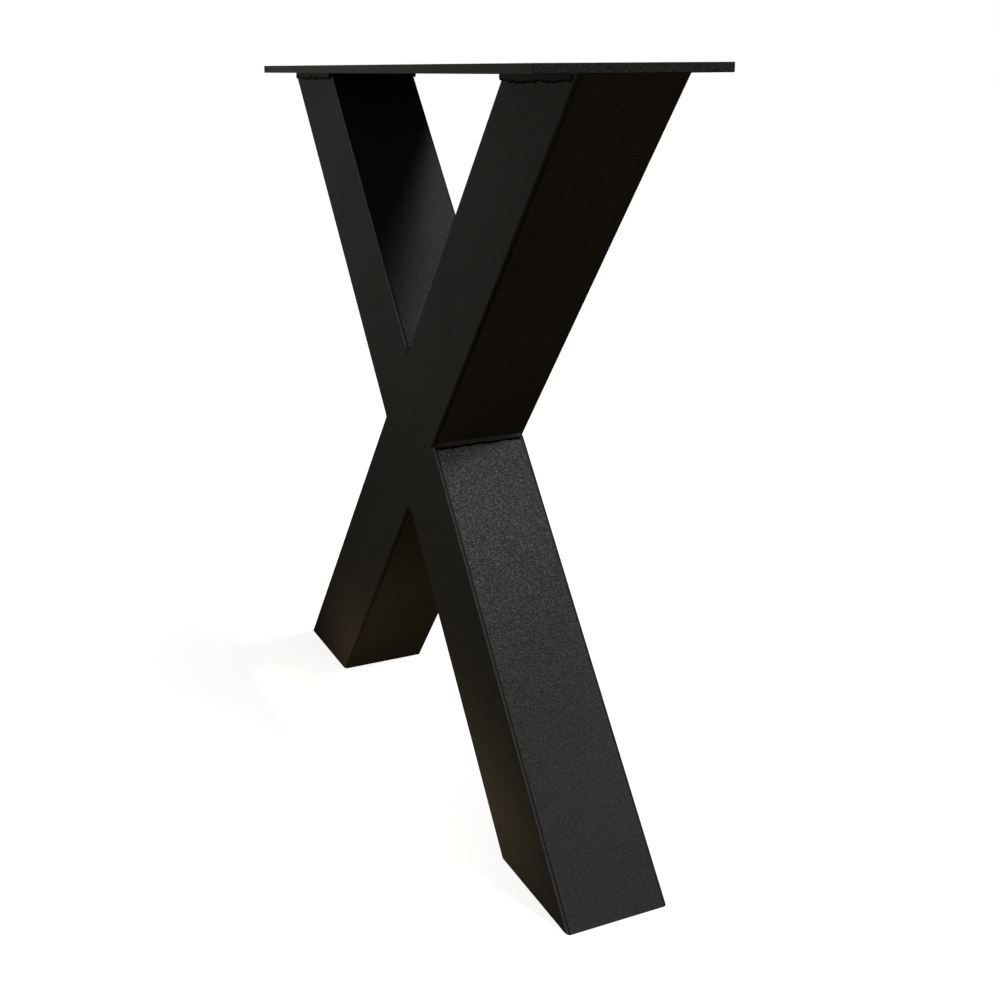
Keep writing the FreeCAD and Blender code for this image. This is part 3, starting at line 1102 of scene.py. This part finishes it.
@dataclass
class Studio:
    """Floor, world, lamps and camera round the leg.

    Attributes:
        foot_offset: From the middle to either foot.
        floor_width: The floor's width.
        floor_tone: The floor's grey as it is seen, which takes the shadow.
        floor_glow: How brightly the floor shines at the feet, where its shadow shows, and away
            from them.
        ambient: How brightly the world lights matt surfaces.
        bounce: The floor's colour as matt surfaces see it.
        lamps: The lamps.
    """

    foot_offset: float
    floor_width: float = 60.0
    floor_tone: float = 0.3
    floor_glow: tuple[float, float] = (0.88, 1.0)
    ambient: float = 0.11
    bounce: tuple[float, float, float] = (0.24, 0.175, 0.085)
    lamps: tuple[SoftLamp, ...] = (
        SoftLamp("key", (1.59, 1.09, 2.53), (0.1, 0.0, 0.3), 0.55, 0.55, 76.0),
        SoftLamp("fill", (-0.29, -0.829, 0.55), (0.135, 0.0, 1.7), 0.3, 0.3, 4.94,
                 (0.97, 1.0, 0.95)),
        SoftLamp("floor_glow", (0.014, -0.16, 0.02), (0.014, 0.0, 0.02), 0.5, 0.03, 0.3,
                 (1.0, 0.78, 0.45)),
    )

    def build(self) -> None:
        """Add the floor, the world, the lamps and the camera."""
        self.lay_floor()
        self.light_world()
        for lamp in self.lamps:
            lamp.place()
        PhotoCamera().place()

    @staticmethod
    def seen(tree: ShaderTree) -> Socket:
        """Return 1 for camera, glossy and transmission rays, and 0 for the others."""
        path = tree.add("ShaderNodeLightPath")
        mirrored = tree.work("MAXIMUM", path.outputs["Is Glossy Ray"],
                             path.outputs["Is Transmission Ray"])
        return tree.work("MAXIMUM", path.outputs["Is Camera Ray"], mirrored)

    def lay_floor(self) -> None:
        """Add a plain white floor that keeps the leg's shadow."""
        clear_selection()
        bpy.ops.mesh.primitive_plane_add(size=self.floor_width)
        floor = bpy.context.object
        floor.name = "studio_floor"
        material = bpy.data.materials.new("studio_floor")
        material.use_nodes = True
        tree = ShaderTree(material.node_tree)
        shader = material.node_tree.nodes["Principled BSDF"]
        shader.inputs["Roughness"].default_value = 1.0
        shader.inputs["Specular IOR Level"].default_value = 0.0
        shader.inputs["Emission Color"].default_value = (1.0, 1.0, 1.0, 1.0)
        seen = self.seen(tree)
        colour = tree.blend(seen, self.bounce, (self.floor_tone,) * 3)
        tree.join(colour, shader.inputs["Base Color"])
        where = tree.add("ShaderNodeTexCoord").outputs["Object"]
        either_side = tree.add("ShaderNodeVectorMath", operation="ABSOLUTE")
        tree.join(where, either_side.inputs[0])
        from_foot = tree.add("ShaderNodeVectorMath", operation="DISTANCE")
        tree.join(either_side.outputs["Vector"], from_foot.inputs[0])
        from_foot.inputs[1].default_value = (self.foot_offset, 0.0, 0.0)
        glow = tree.spread(from_foot.outputs["Value"], 0.05, 0.35, *self.floor_glow)
        tree.join(tree.work("MULTIPLY", seen, glow), shader.inputs["Emission Strength"])
        floor.data.materials.append(material)

    def light_world(self) -> None:
        """Make the world white where it is seen, and a soft fill elsewhere."""
        world = bpy.data.worlds.new("studio")
        world.use_nodes = True
        bpy.context.scene.world = world
        tree = ShaderTree(world.node_tree)
        background = world.node_tree.nodes["Background"]
        background.inputs["Color"].default_value = (1.0, 1.0, 1.0, 1.0)
        strength = tree.spread(self.seen(tree), 0.0, 1.0, self.ambient, 1.0)
        tree.join(strength, background.inputs["Strength"])


@dataclass(frozen=True)
class PhotoCamera:
    """The camera at the photograph's viewing angle.

    Attributes:
        at: Where the lens is.
        yaw: The view's turn from +Y towards -X, in degrees.
        pitch: Its rise above level, in degrees.
        roll: Its turn about the line of sight, in degrees.
        lens: The focal length in millimetres, for a 36 mm sensor.
        shift: The frame's shift, as shares of its width.
    """

    at: tuple[float, float, float] = (1.2025, -0.5368, 0.7182)
    yaw: float = 66.041
    pitch: float = -12.136
    roll: float = -0.411
    lens: float = 47.53
    shift: tuple[float, float] = (0.05, -0.15)

    def place(self) -> None:
        """Add the camera and make it the scene's."""
        data = bpy.data.cameras.new("photo_camera")
        data.sensor_width = 36.0
        data.lens = self.lens
        data.shift_x, data.shift_y = self.shift
        camera = bpy.data.objects.new("photo_camera", data)
        aim = Euler((math.radians(90 + self.pitch), 0.0, math.radians(self.yaw))).to_matrix()
        turned = aim @ Matrix.Rotation(math.radians(self.roll), 3, "Z")
        camera.matrix_world = Matrix.Translation(self.at) @ turned.to_4x4()
        bpy.context.scene.collection.objects.link(camera)
        bpy.context.scene.camera = camera


def main() -> None:
    """Build the leg and the studio round it."""
    bpy.context.scene.view_settings.view_transform = "Standard"
    sizes = LegSizes.from_frame()
    log.info("lean %.3f degrees, wall %.4f", math.degrees(sizes.lean), sizes.wall)
    coats = Coats()
    MountingPlate(sizes).build(coats)
    TubeCross(sizes).build(coats)
    WeldSet(sizes).build(coats)
    Studio(sizes.foot_offset).build()


if __name__ == "__main__":
    main()
